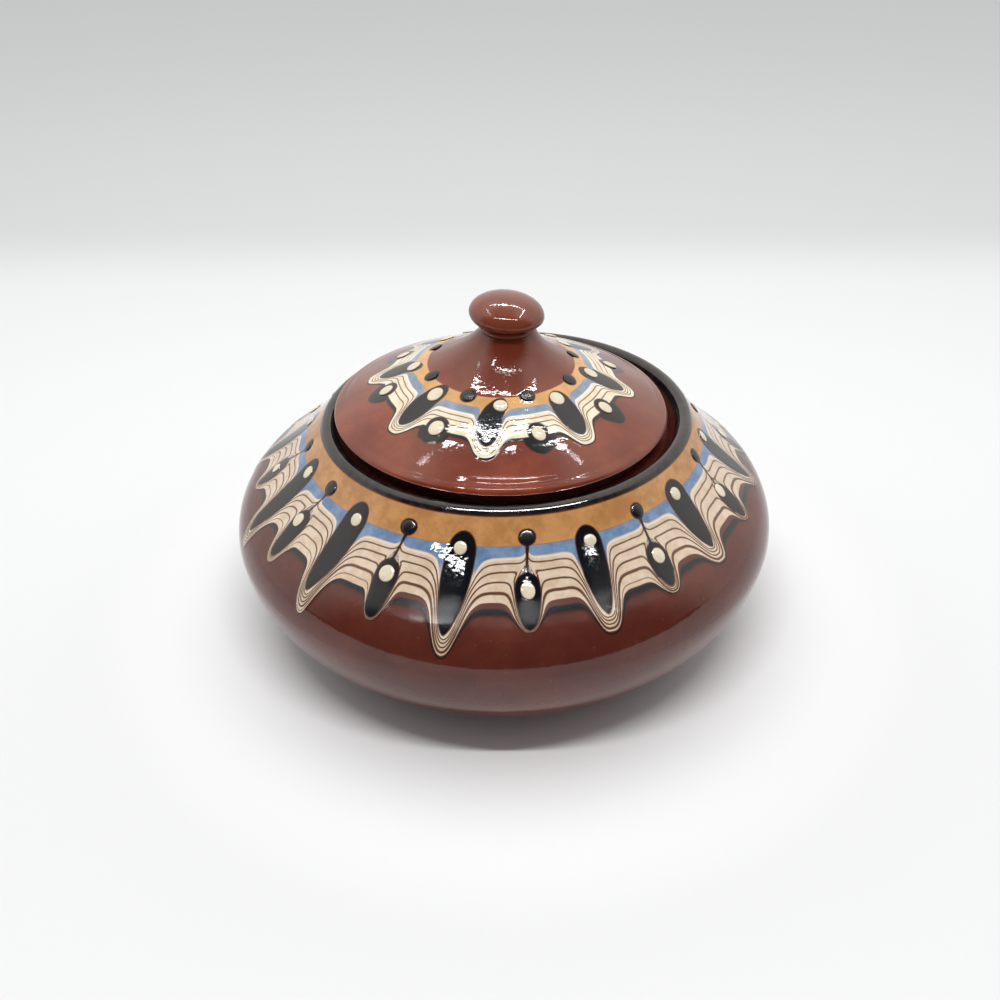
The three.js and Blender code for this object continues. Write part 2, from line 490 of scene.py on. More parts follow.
# Each small drip: degrees at its top dot, the dot's millimetres down and half width in degrees, then degrees
# and half width of its teardrop, the tips of its black and its slips, and the pull from the left and right.
bowl_small_drips = [
    (-81.0, 6.2, 2.2, -84.3, 2.6, 28.4, 29.8, 1.0, 1.0),
    (-56.1, 6.3, 2.3, -57.8, 2.6, 31.9, 33.9, 0.9, 0.85),
    (-26.1, 6.1, 2.3, -27.3, 2.8, 32.3, 33.1, 0.74, 0.93),
    (5.4, 6.1, 2.2, 4.9, 2.8, 30.8, 31.4, 1.1, 0.96),
    (37.0, 6.0, 1.9, 36.8, 2.7, 28.3, 30.3, 0.95, 0.95),
    (69.5, 4.8, 2.0, 68.6, 2.8, 27.7, 29.0, 1.0, 1.0),
]
# Cream dots: degrees round, millimetres down, half width in degrees, half height in millimetres, and lean in
# degrees.
bowl_cream_dots = [
    (-98.5, 9.0, 1.8, 2.0, 0), (-69.7, 9.0, 1.8, 2.1, 0), (-41.8, 9.4, 1.7, 1.9, 0),
    (-11.3, 9.2, 1.7, 1.9, 0), (21.4, 9.4, 1.7, 1.7, 0), (51.7, 7.5, 1.8, 2.0, 0), (82.3, 6.0, 1.7, 2.0, 0),
    (-85.0, 20.8, 1.4, 1.7, 0), (-58.7, 19.4, 1.6, 2.2, 0), (-27.3, 19.8, 1.9, 2.4, 0),
    (4.9, 20.3, 1.6, 2.4, 12), (37.1, 19.4, 1.65, 2.3, 0), (68.0, 17.2, 1.75, 2.3, 0),
]
chance = np.random.RandomState(7)
for turn in (113.6, 143.2, 172.8, 202.4, 232.0):
    shift = chance.uniform(-1, 1, 6)
    bowl_big_drips.append((
        turn, turn + shift[0], 4.0 + 0.6 * shift[1], 30.5 + 2.5 * shift[2],
        35.6 + 2.5 * shift[2] + 0.5 * shift[3], 3.6 + 0.12 * shift[4], 3.4, 3.4, 2.4,
    ))
    bowl_cream_dots.append((turn + 0.3 * shift[5], 8.6 + 0.7 * shift[1], 1.75, 1.95 + 0.1 * shift[4], 0))
for turn in (99.0, 128.5, 158.0, 187.5, 217.0, 246.0):
    shift = chance.uniform(-1, 1, 6)
    bowl_small_drips.append((
        turn, 6.0 + 0.4 * shift[0], 2.1 + 0.15 * shift[1], turn + 0.7 * shift[2], 2.7,
        29.6 + 1.6 * shift[3], 30.9 + 1.6 * shift[3] + 0.5 * shift[4], 1.0, 1.0,
    ))
    bowl_cream_dots.append((
        turn + 0.7 * shift[2], 19.2 + 0.8 * shift[5], 1.65, 2.3 + 0.2 * shift[4], 6 * shift[1],
    ))


def pulled(turn_away, spread_left, spread_right, power):
    """How strongly a drip drags the slips with it, from 1 on its middle to 0 beside it."""
    spread = np.where(turn_away < 0, spread_left, spread_right)
    return np.exp(-(np.abs(turn_away) / spread) ** power)


def before_drips(down, runs, tightest):
    """Where slips now this far down were trailed, and how strongly drips took hold of them. A drip's run is
    its pull, where it starts, how much slip it takes along, and the tips of its black and its slips."""
    drag, squeeze, strongest = (np.zeros_like(down) for _ in range(3))
    for pull, start, taken, black_tip, slip_tip in runs:
        keep = (slip_tip - black_tip) / taken
        drag += pull * (black_tip - start * keep)
        squeeze += pull * (1 - keep)
        strongest = np.maximum(strongest, pull)
    return (down - drag) / np.maximum(1 - squeeze, tightest), strongest


def slips_end(turn):
    """How far down the cream was trailed, before the drips ran: it was laid on twice on the left."""
    marks = [-180, -120, -100, -29.5, -25, 22, 26, 34, 37.5, 100, 140, 180]
    ends = [23.4, 23.4, 25.3, 25.3, 23.3, 23.3, 24.8, 24.8, 23.4, 23.4, 23.4, 23.4]
    return np.interp(apart(turn, 0), marks, ends)


def bowl_flow(turn, down):
    """How far down the rim a point of the slips was when they were trailed, before the drips ran."""
    runs = []
    lifted = np.zeros_like(down)
    for top, tip, head, black, slip, _, left, right, power in bowl_big_drips:
        away = apart(turn, np.interp(down, [head, slip], [top, tip]))
        wide = np.interp(down, [12, 15, 18, 22, 28, 38], [0.70, 0.85, 0.95, 0.97, 1.0, 1.03])
        square = power * np.interp(down, [12, 16, 20, 24, 28], [0.58, 0.66, 0.78, 0.9, 1.0])
        pull = pulled(away, left * wide, right * wide, square) * step(down, 8, 12)
        runs.append((pull, 11.7, slips_end(tip) - 11.7, black + 0.4, slip))
    for top, _, _, middle, _, black, slip, left, right in bowl_small_drips:
        wide = np.interp(down, [13, 14.5, 16, 17.5, 20, 24, 27], [0.3, 0.5, 1.1, 1.9, 2.45, 2.95, 3.2])
        square = np.interp(down, [13, 16, 20, 26], [1.35, 1.5, 2.2, 2.6])
        pull = pulled(apart(turn, middle), left * wide, right * wide, square) * step(down, 13.2, 15.5)
        runs.append((pull, 13.3, slips_end(middle) - 13.3, black, slip))
        off_line = apart(turn, np.interp(down, [8, 15], [top, middle]))
        lifted += 1.7 * pulled(off_line, 0.75, 0.75, 1.2) * step(down, 8, 9.5) * step(down, 16, 13.5)
    flow, strongest = before_drips(down + lifted, runs, 0.04)
    sway = np.interp(flow, [0, 9.9, 11.7, 14.4, 17.3, 20.5, 23.2], [1.6, 1.6, 1.5, 1.0, 0.6, 0.2, 0.0])
    flow -= sway * np.cos(np.radians(turn + 40))
    past = flow - slips_end(turn)
    return np.where(past > 0, flow + past * strongest, flow)


def laid_slips(flow_at, radius, turns, downs, part, middle):
    """The flow of the slips over a part of a piece, and how much it steepens there, for the trailed lines."""
    nudge = 0.05
    turn, down = turns[part], downs[part]
    here = flow_at(turn, down)
    slope_down = (flow_at(turn, down + nudge) - here) / nudge
    slope_across = (flow_at(turn + np.degrees(nudge / radius(down)), down) - here) / nudge
    flow, thin = np.where(downs > middle, 60.0, -5.0), np.ones_like(downs)
    flow[part] = here
    thin[part] = np.clip(np.hypot(slope_down, slope_across), 1.0, 6.0) ** 0.75
    return flow, thin


def outline_of(middle, width, down, radius):
    """The outline of a band with its middle and half width in degrees, and the turn that it starts from."""
    across = np.radians(1) * radius(down)
    left, right = (np.column_stack([(middle - middle[0] + w) * across, down]) for w in (-width, width))
    return middle[0], np.concatenate([left, right[::-1]])


def drip_outline(head, tip, half_width, marks, turns, radius, rounded, power):
    """The outline of a long black drip: round at the head, widest below it, drawn in to its tip."""
    share = (1 - np.cos(np.linspace(0, np.pi, 26))) / 2
    head_part = np.sqrt(np.clip(1 - (1 - share / rounded) ** 2, 0, 1))
    tail_part = (1 - np.clip((share - rounded) / (1 - rounded), 0, 1) ** power) ** 0.7
    width = half_width * np.where(share < rounded, head_part, tail_part)
    down = head + (tip - head) * share
    return outline_of(np.interp(down, marks, turns), width, down, radius)


def oval(turn, down, half_turn, half_height, radius):
    angles = np.linspace(0, 2 * np.pi, 28, endpoint=False)
    across = np.radians(half_turn) * radius(down) * np.sin(angles)
    return turn, np.column_stack([across, down + half_height * np.cos(angles)])


def nearest_shape(turns, downs, shapes, radius, window):
    """The least distance to any of the outlines, each worked out only near itself."""
    nearest = np.full(downs.shape, 9.0)
    for turn, outline in shapes:
        away = apart(turns, turn)
        low, high = outline[:, 1].min() - 4, outline[:, 1].max() + 4
        near = (np.abs(away) < window) & (downs > low) & (downs < high)
        across = np.radians(away[near]) * radius(downs[near])
        nearest[near] = np.minimum(nearest[near], to_outline(outline, across, downs[near]))
    return nearest


def raised(places, normals, slips, black_distance):
    """The points of a piece lifted by the slips where there are any, and by the black that lies on them."""
    slip_coat, black_coat = 0.14, 0.05
    return places + normals * (slip_coat * slips + black_coat * step(black_distance, 0.8, -1.2))[:, None]


def noise(tree, scale, detail, roughness=0.5):
    place = add(tree, "ShaderNodeTexCoord")["Object"]
    inputs = {"Vector": place, "Scale": scale, "Detail": detail, "Roughness": roughness}
    return add(tree, "ShaderNodeTexNoise", inputs)[0]


def shaken(tree, given, scale, detail, roughness):
    """The field that comes into a group, moved to and fro by its wobble."""
    shake = maths(tree, "SUBTRACT", noise(tree, scale, detail, roughness), 0.5)
    return maths(tree, "ADD", given["Field"], times(tree, shake, given["Wobble"]))


# Red clay under glaze: slow mottling, and fine dark and pale specks.
clay, given = new_group("red clay", {"Color": ["Clay", "Deep"]}, {"Color": ["Color"]})
grog = add(clay, "ShaderNodeTexVoronoi", {
    "Vector": add(clay, "ShaderNodeTexCoord")["Object"], "Scale": 520.0})
chosen = add(clay, "ShaderNodeSeparateColor", {0: grog["Color"]})[0]
pale_specks = times(
    clay, ramp_up(clay, grog["Distance"], 0.16, 0.05), ramp_up(clay, chosen, 0.55, 0.9))
add(clay, "NodeGroupOutput", {"Color": layered(
    clay, given["Deep"],
    (ramp_up(clay, noise(clay, 45.0, 4.0, 0.6), 0.38, 0.68), given["Clay"]),
    (times(clay, ramp_up(clay, noise(clay, 900.0, 3.0, 0.7), 0.46, 0.34), 0.35), given["Deep"]),
    (times(clay, pale_specks, 0.25), colour(176, 120, 92)),
)})

# A slip's edge: 1 beyond it, with a soft bleed and the wobble of a wet line.
slip_edge, given = new_group(
    "slip edge", {"Float": ["Field", "Edge", "Bleed", "Wobble"]}, {"Float": ["Mask"]})
off = maths(slip_edge, "SUBTRACT", shaken(slip_edge, given, 330.0, 3.0, 0.6), given["Edge"])
off = maths(slip_edge, "DIVIDE", off, given["Bleed"])
add(slip_edge, "NodeGroupOutput", {"Mask": ramp_up(slip_edge, off, -0.5, 0.5)})

# A trailed line of slip: 1 on the line, with a soft edge and a hand's unsteady width.
slip_line, given = new_group(
    "slip line", {"Float": ["Field", "Middle", "Half Width", "Bleed", "Wobble"]}, {"Float": ["Mask"]})
off = maths(slip_line, "SUBTRACT", shaken(slip_line, given, 260.0, 2.0, 0.55), given["Middle"])
off = maths(slip_line, "SUBTRACT", maths(slip_line, "ABSOLUTE", off), given["Half Width"])
off = maths(slip_line, "DIVIDE", off, given["Bleed"])
add(slip_line, "NodeGroupOutput", {"Mask": ramp_up(slip_line, off, 0.5, -0.5)})

# The skin of the glaze: a fine orange peel and slow waves, and how glossy it came out.
glaze, given = new_group(
    "glaze skin", {"Float": ["Peel", "Waves", "Gloss"]}, {"Float": ["Height", "Roughness"]})
peel = times(glaze, noise(glaze, 850.0, 1.0), given["Peel"])
waves = times(glaze, noise(glaze, 130.0, 1.0, 0.4), given["Waves"])
dull_patches = times(glaze, ramp_up(glaze, noise(glaze, 70.0, 3.0), 0.4, 0.7), 0.03)
add(glaze, "NodeGroupOutput", {
    "Height": maths(glaze, "ADD", peel, waves),
    "Roughness": maths(glaze, "ADD", given["Gloss"], dull_patches),
})


def placed(tree, group, **inputs):
    named = {name.replace("_", " "): value for name, value in inputs.items()}
    return add(tree, "ShaderNodeGroup", named, node_tree=group)


def field_of(tree, name):
    return add(tree, "ShaderNodeAttribute", attribute_name=name, attribute_type="GEOMETRY")["Fac"]


def beyond(tree, name, edge, bleed, wobble=0.0):
    """Where a field that is kept on the mesh is beyond an edge."""
    return placed(tree, slip_edge, Field=field_of(tree, name), Edge=edge, Bleed=bleed, Wobble=wobble)[0]


def within(tree, name, edge, bleed, wobble=0.0):
    return maths(tree, "SUBTRACT", 1.0, beyond(tree, name, edge, bleed, wobble))


def on_line(tree, name, middle, half_width, bleed, wobble):
    field = field_of(tree, name)
    return placed(
        tree, slip_line, Field=field, Middle=middle, Half_Width=half_width, Bleed=bleed, Wobble=wobble)[0]


def trailed(tree, lines, bleed, wobble):
    """Dark lines along the flow of the slips, each a middle and a half width, as coats."""
    thin = field_of(tree, "thin")
    return [(on_line(tree, "flow", middle, times(tree, thin, half_width), bleed, wobble), line_slip)
            for middle, half_width in lines]


def mottled(tree, one, other, scale, low=0.35, high=0.65):
    return blended(tree, ramp_up(tree, noise(tree, scale, 4.0, 0.6), low, high), one, other)


def glazed(tree, surface, paint, peel, waves, gloss=0.04):
    """Puts paint under the skin of the glaze, and returns how rough the skin is."""
    tree.links.new(paint, surface.inputs["Base Color"])
    height, rough = placed(tree, glaze, Peel=peel, Waves=waves, Gloss=gloss)
    skin_depth = 0.00005
    bump = add(tree, "ShaderNodeBump", {"Strength": 1.0, "Distance": skin_depth, "Height": height})
    tree.links.new(bump[0], surface.inputs["Normal"])
    return rough


line_slip = colour(100, 68, 48)
brown_slip = colour(70, 38, 28)
black_slip = colour(14, 15, 20)
slate_slip = colour(26, 28, 34)

bowl_glaze, tree, surface = named_material("bowl redware")
down = field_of(tree, "down")
# Painted shade: the bowl's clay and slips are darker copies of the lid's, painted shade for the shoulder and
# belly.
body = placed(tree, clay, Clay=colour(102, 48, 36), Deep=colour(85, 38, 29))[0]
bare_clay = placed(tree, clay, Clay=colour(168, 96, 66), Deep=colour(140, 74, 52))[0]
ochre = mottled(tree, colour(174, 121, 71), colour(199, 145, 91), 160.0)
blue = mottled(tree, colour(96, 122, 160), colour(124, 148, 178), 240.0)
cream = mottled(tree, colour(209, 183, 156), colour(223, 202, 180), 300.0)
black = mottled(tree, black_slip, slate_slip, 120.0, 0.5, 0.85)
slips = layered(
    tree, ochre,
    (beyond(tree, "blue", 0.0, 0.5, 0.3), blue),
    (on_line(tree, "blue", 0.0, 0.10, 0.3, 0.3), colour(140, 118, 104)),
    (beyond(tree, "flow", 10.1, 0.5, 0.3), cream),
    (beyond(tree, "down", 15.5, 4.0), cream),
    (on_line(tree, "flow", 10.6, 0.25, 0.5, 0.3), colour(228, 214, 198)),
    *trailed(tree, ((12.0, 0.22), (14.5, 0.25), (17.4, 0.27), (23.5, 0.14)), 0.35, 0.4),
    (on_line(tree, "flow", 20.6, field_of(tree, "heavy"), 0.4, 0.4), line_slip),
    (beyond(tree, "past", 0.0, 0.35, 0.25), colour(92, 50, 38)),
    (times(tree, beyond(tree, "flow", 24.9, 0.8, 0.4), beyond(tree, "past", 0.1, 0.3, 0.2)), slate_slip),
)
decorated = times(tree, beyond(tree, "down", 0.5, 0.5), within(tree, "flow", 27.0, 1.7, 0.9))
rim_band = times(tree, beyond(tree, "down", -6.3, 0.6, 0.5), within(tree, "down", 0.2, 0.7, 0.6))
bare_foot = beyond(tree, "down", 93.0, 2.0)
painted = layered(
    tree, body,
    (decorated, slips),
    (within(tree, "black", 0.22, 0.4, 0.3), brown_slip),
    (within(tree, "black", -0.12, 0.4, 0.3), black),
    (within(tree, "bead", 0.1, 0.3), brown_slip),
    (rim_band, mottled(tree, black_slip, colour(44, 36, 34), 350.0)),
    (bare_foot, bare_clay),
)
rough = glazed(tree, surface, painted, 0.5, 0.5)
# The slope under the drips came out satin, the black rim glossy and the bare foot dull.
low_slope = times(tree, ramp_up(tree, down, 21.0, 25.0), ramp_up(tree, down, 35.0, 33.0))
rough = maths(tree, "MULTIPLY_ADD", low_slope, 0.15, rough)
for mask, roughness in ((rim_band, 0.07), (bare_foot, 0.75)):
    rough = add(tree, "ShaderNodeMix", {"Factor": mask, 2: rough, 3: roughness}, data_type="FLOAT")[0]
tree.links.new(rough, surface.inputs["Roughness"])

bowl = thrown("bowl_thrown", bowl_line, bowl_down, 900, bowl_glaze)
bowl_radius, bowl_height = outside_of(bowl_line, bowl_down, rim_row)
places, normals, downs, turns = points_of(bowl)
outside = (downs > -1) & (downs < 46)
flow, thin = laid_slips(bowl_flow, bowl_radius, turns, downs, outside, 0)
heavy = thin * np.interp(
    turns, [-180, -120, -50, -38, 100, 140, 180], [0.35, 0.3, 0.2, 0.45, 0.45, 0.35, 0.35])
in_blue = np.where(downs > 0, 30.0, -30.0)
in_blue[outside] = downs[outside] - (7.2 + 1.5 * np.cos(np.radians(turns[outside] + 40)))
black_shapes = [
    drip_outline(head, black_tip, half_width, [head, black_tip], [top, tip], bowl_radius, 0.2, 2)
    for top, tip, head, black_tip, _, half_width, *_ in bowl_big_drips
]
for top, dot_down, dot_width, middle, half_width, tip, *_ in bowl_small_drips:
    run = np.array([
        dot_down + 1, 10.5, 15.2, 15.8, 16.3, 17.0, 18.0, 19.5, 21.8, 24.6,
        tip - 3.2, tip - 1.5, tip - 0.5, tip,
    ])
    widths = np.array([0.14, 0.06, 0.07, 0.30, 0.58, 0.79, 0.93, 1.0, 0.97, 0.84, 0.66, 0.48, 0.28, 0.03])
    middles = np.interp(run, [8, 15], [top, middle])
    black_shapes.append(oval(top, dot_down, dot_width, 2.2, bowl_radius))
    black_shapes.append(outline_of(middles, half_width * widths, run, bowl_radius))
black_distance = nearest_shape(turns, downs, black_shapes, bowl_radius, 9.0)
dot_shapes = [oval(*dot[:4], bowl_radius) for dot in bowl_cream_dots]
bead_distance = nearest_shape(turns, downs, dot_shapes, bowl_radius, 6.0)
keep_fields(
    bowl.data, flow=flow, past=flow - slips_end(turns), blue=in_blue, black=black_distance,
    bead=bead_distance, thin=thin, heavy=heavy,
)
seat_slope = -math.tan(math.radians(0.6))


def bowl_settled(places, downs):
    """The kiln's small warp: the rim stands higher on the right, and the foot lies a little to the left."""
    rim_slope = math.tan(math.radians(0.959))
    x, z = places[:, 0].copy(), places[:, 2].copy()
    slope = np.where(downs > 0, rim_slope * np.clip((z - 41.35) / 27.65, 0, 1), 0)
    inner = downs <= 0
    slope[inner] = np.interp(
        downs[inner], [-42, -18.5, -9.4, -5.4, 0], [0, seat_slope, seat_slope, rim_slope, rim_slope])
    about = np.interp(downs, [-9.4, -5.4], [1.5, 0])
    foot_shift = 1.357
    places[:, 2] = z + slope * (x + about)
    places[:, 0] = x - foot_shift * (rim_height - z) / rim_radius
    return places


slips_cover = step(flow, 28.5, 24.5) * step(downs, 0.2, 1.2) * outside
move_points(bowl, bowl_settled(raised(places, normals, slips_cover, black_distance), downs))
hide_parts("bowl")
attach(bowl, "bowl")


# The dots are beads of thick slip dropped from the trailer onto the drips. They stand a little proud and are
# glazed over with the rest: cream ones on the drips, black ones between them.

# Geometry nodes that set a low domed bead on each point, leaned and stretched as that point says.
beads, given = new_maker("beads of slip", "Segments", "Rings")
counts = {"Segments": given["Segments"], "Rings": given["Rings"]}
bead = add(beads, "GeometryNodeMeshUVSphere", {**counts, "Radius": 1.0})["Mesh"]
height = parts_of(beads, add(beads, "GeometryNodeInputPosition")[0])["Z"]
out, side, size = (mark_of(beads, name, "FLOAT_VECTOR") for name in ("outward", "across", "size"))
stood = add(beads, "FunctionNodeAlignRotationToVector", {"Vector": out}, axis="Z")[0]
turned = add(
    beads, "FunctionNodeAlignRotationToVector", {"Rotation": stood, "Vector": side},
    axis="X", pivot_axis="Z",
)[0]
set_down = add(beads, "GeometryNodeInstanceOnPoints", {
    "Points": add(beads, "GeometryNodeMeshToPoints", {"Mesh": given["Geometry"]})[0],
    "Instance": marked(beads, bead, "crown", height),
    "Rotation": turned,
    "Scale": size,
})[0]
complete(beads, set_down, given["Material"])


def slip_beads(name, dots, rise, outside, material):
    """Beads that rise from dots of turn, distance down, half width in degrees, half height in millimetres and
    lean. The outside of their piece is given as its radius, its height and how it settled."""
    radius, height, settled = outside

    def place(turn, down):
        angle = math.radians(turn)
        spot = at(radius(down) * math.sin(angle), -radius(down) * math.cos(angle), height(down))
        return settled(spot[None], at(down))[0]

    centres = []
    marks = {"outward": [], "across": [], "size": []}
    for turn, down, half_turn, half_height, lean in dots:
        side = place(turn + 0.5, down) - place(turn - 0.5, down)
        side /= np.linalg.norm(side)
        out = np.cross(side, place(turn, down - 0.5) - place(turn, down + 0.5))
        out /= np.linalg.norm(out)
        centres.append(tuple((place(turn, down) + out * (0.3 - 0.25 * rise)) * MM))
        lean = math.radians(lean)
        marks["outward"].append(out)
        marks["across"].append(side * math.cos(lean) + np.cross(out, side) * math.sin(lean))
        marks["size"].append(at(math.radians(half_turn) * radius(down), half_height, 1.25 * rise) * MM)
    points = bpy.data.meshes.new(name + " marks")
    points.from_pydata(centres, [], [])
    for label, values in marks.items():
        field = points.attributes.new(label, "FLOAT_VECTOR", "POINT")
        field.data.foreach_set("vector", np.array(values, np.float32).ravel())
    return made_by(beads, name, points, Segments=32, Rings=14, Material=material)


def bead_material(name, crown, edge, crown_at, gloss):
    """A bead's own slip, stained by the slip round it where it thins out to its edge."""
    material, tree, surface = named_material(name)
    body = mottled(tree, crown, [c * 0.9 for c in crown[:3]] + [1.0], 400.0)
    paint = blended(tree, beyond(tree, "crown", crown_at, 0.4, 0.25), edge, body)
    tree.links.new(glazed(tree, surface, paint, 0.4, 0.6, gloss), surface.inputs["Roughness"])
    return material


cream_bead = bead_material("cream slip bead", colour(228, 216, 190), colour(120, 84, 60), 0.3, 0.04)
black_bead = bead_material("black slip bead", black_slip, brown_slip, 0.15, 0.22)
cream_rise, black_rise, black_half_height = 0.35, 0.25, 1.9
bowl_outside = (bowl_radius, bowl_height, bowl_settled)
bowl_cream = slip_beads("bowl_cream_beads", bowl_cream_dots, cream_rise, bowl_outside, cream_bead)
bowl_black = slip_beads(
    "bowl_black_beads",
    [(top, down, 0.86 * dot_width, black_half_height, 0) for top, down, dot_width, *_ in bowl_small_drips],
    black_rise, bowl_outside, black_bead,
)
for piece in (bowl_cream, bowl_black):
    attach(piece, "bowl")


# The lid is thrown upside down, with a flange turned under it that keeps it in the gallery. Its slips run in
# the same bands as the bowl's, dragged outward from the neck.
lid_wall = 4.6
neck_height = 97.2
lid_edge = at(46.6, 73.7)
lip_top = bend(at(49.7, 71.4), at(0, 1.3), reach(1.3, -33), lid_edge, 60)
lid_dome = sloped(
    at(7.9, neck_height), lid_edge,
    [0, 2, 4, 6, 8, 10.3, 13, 16.2, 18.5, 21, 25, 29, 31, 33, 35, 36.5, 40, 44, 44.3, 44.8, 45.6],
    [58, 53.5, 48.3, 43.3, 38.6, 34.6, 32.2, 29.8, 26.8, 24.9,
     25.5, 25.9, 26.0, 25.65, 25.4, 25.7, 26.3, 26.7, 29.3, 31, 33],
)[::-1]
lid_hollow = inward(lid_dome, lid_wall)
lid_hollow = lid_hollow[(lid_hollow[:, 0] > 9) & (lid_hollow[:, 0] < 37.8)][::-1]
flange = [
    (37.8, lid_hollow[-1, 1] - 0.4), (37.8, 61.7), (38.5, 61), (40.9, 61), (41.6, 61.7), (41.6, 66),
    (46.2, 66), (48.6, 70.2), (49.7, 71.4), (49.7, 71.6),
]
lid_line = np.concatenate([
    [(0, lid_hollow[0, 1])],
    spaced(lid_hollow, 3.0),
    softened(flange, 0.5)[1:-1],
    spaced(np.concatenate([lip_top, lid_dome[1:]]), 0.48),
    [(5, neck_height), (0, neck_height)],
])
neck_row = len(lid_line) - 3
lid_down = down_from(lid_line, neck_row)

# The lid's big drips: degrees at the head, at 25 mm and at the tip, then millimetres out from the neck to the
# top of the black, its tip and the slips' tip, and the half width in degrees.
lid_big_drips = [
    (-88, -95, -97, 19.5, 34.2, 38.3, 6.9),
    (-46, -49, -50, 17.7, 35.1, 38.4, 6.9),
    (0, -6, -6.5, 18.2, 34.5, 38.3, 6.6),
    (40.8, 39.5, 38.1, 19.0, 35.0, 38.4, 7.2),
    (83, 84.5, 85, 19.4, 34.2, 37.7, 7.1),
    (129, 130, 131, 18.8, 34.8, 38.2, 7.0),
    (176, 175, 174, 18.5, 34.4, 38.0, 6.8),
    (220, 221, 221.5, 19.0, 34.9, 38.4, 7.0),
]
# Small ovals at the slips' edge: degrees, millimetres out, half width in degrees, half height in millimetres,
# lean, and the degrees and millimetres of the black splash's tip below them.
lid_small_ovals = [
    (-78.5, 31.7, 3.4, 2.3, 0, -78.5, 37.7), (-31.7, 31.5, 3.9, 2.6, 0, -32.5, 36.8),
    (18.2, 31.2, 3.2, 2.5, 14, 17.7, 37.8), (61.1, 31.7, 3.3, 2.3, 0, 61.4, 38.5),
    (108.5, 32.6, 3.2, 2.4, 0, 108.5, 37.9), (152.5, 31.6, 3.4, 2.4, 0, 153.0, 37.6),
    (197.5, 31.8, 3.3, 2.4, 0, 197.0, 38.0), (242.0, 31.5, 3.4, 2.3, 0, 242.4, 37.6),
]
lid_black_dots = [
    (-66.5, 18.0), (-24.5, 18.6), (19.6, 18.2), (62.5, 18.5),
    (106, 18.5), (152, 18.3), (198, 18.6), (243, 18.2),
]
lid_cream_dots = [
    (-91.5, 22.3, 5.0, 2.3, 0), (-47.3, 21.8, 5.2, 2.6, 0), (0, 20.8, 4.9, 2.0, 0),
    (39.6, 21.6, 5.0, 2.35, 0), (85.3, 23.3, 4.6, 2.3, 0), (129.6, 21.8, 4.9, 2.3, 0),
    (175.6, 21.5, 5.0, 2.3, 0), (220.6, 22.0, 4.9, 2.3, 0),
] + [row[:5] for row in lid_small_ovals]


def lid_flow(turn, down):
    """How far from the neck a point of the slips was when they were trailed, before the drips ran."""
    runs = []
    for top, bent, tip, head, black_tip, slip, _ in lid_big_drips:
        away = apart(turn, np.interp(down, [head, 25, slip], [top, bent, tip]))
        share = np.interp(down, [20, 24, 28], [0.8, 0.9, 1.0])
        runs.append((pulled(away, 6.8 * share, 6.8 * share, 2.9 * share), 24.3, 7.5, black_tip, slip))
    return before_drips(down, runs, 0.05)[0]


lid_glaze, tree, surface = named_material("lid redware")
down, flow = field_of(tree, "down"), field_of(tree, "flow")
# Painted light: the lid's clay and slips are lighter copies of the bowl's, painted light on its top, which
# faces the lights.
body = placed(tree, clay, Clay=colour(139, 64, 39), Deep=colour(113, 46, 27))[0]
# Painted shade: the lid's clay is painted darker towards the neck, under the knob.
painted_neck_shade = times(tree, ramp_up(tree, down, 17.0, 9.0), 0.7)
ochre = mottled(tree, colour(205, 150, 88), colour(222, 168, 104), 160.0)
blue = mottled(tree, colour(120, 135, 155), colour(142, 157, 176), 240.0)
cream = mottled(tree, colour(230, 210, 179), colour(243, 229, 203), 300.0)
black = mottled(tree, black_slip, slate_slip, 120.0, 0.5, 0.85)
slips = layered(
    tree, ochre,
    (beyond(tree, "flow", 21.8, 0.6, 0.5), blue),
    (beyond(tree, "flow", 24.3, 0.35, 0.3), cream),
    (on_line(tree, "flow", 24.65, 0.3, 0.4, 0.3), colour(236, 228, 215)),
    *trailed(tree, ((25.8, 0.16), (27.5, 0.17), (29.3, 0.17)), 0.28, 0.35),
    (beyond(tree, "flow", 31.8, 0.3, 0.2), slate_slip),
)
decorated = times(tree, beyond(tree, "down", 18.0, 0.5, 0.4), within(tree, "flow", 33.0, 0.8, 0.4))
# The seat under the lip is painted dark, a painted shade for the gap under the lip, and its glaze is made
# dull.
seat_shade_and_dull = times(tree, ramp_up(tree, down, 49.4, 50.4), ramp_up(tree, down, 59.0, 57.0))
painted = layered(
    tree, body,
    # painted shade towards the neck
    (painted_neck_shade, colour(104, 45, 32)),
    (decorated, slips),
    (within(tree, "black", 0.22, 0.4, 0.3), brown_slip),
    (within(tree, "black", -0.1, 0.45, 0.3), black),
    (within(tree, "bead", 0.1, 0.3), brown_slip),
    # painted shade in the gap under the lip
    (seat_shade_and_dull, colour(44, 20, 15)),
)
dome = times(tree, ramp_up(tree, down, 14.0, 24.0), ramp_up(tree, flow, 31.0, 34.0))
ripple = maths(tree, "SUBTRACT", 0.6, times(tree, dome, 0.35))
rough = maths(tree, "MULTIPLY_ADD", seat_shade_and_dull, 0.35, glazed(tree, surface, painted, ripple, ripple))
tree.links.new(rough, surface.inputs["Roughness"])

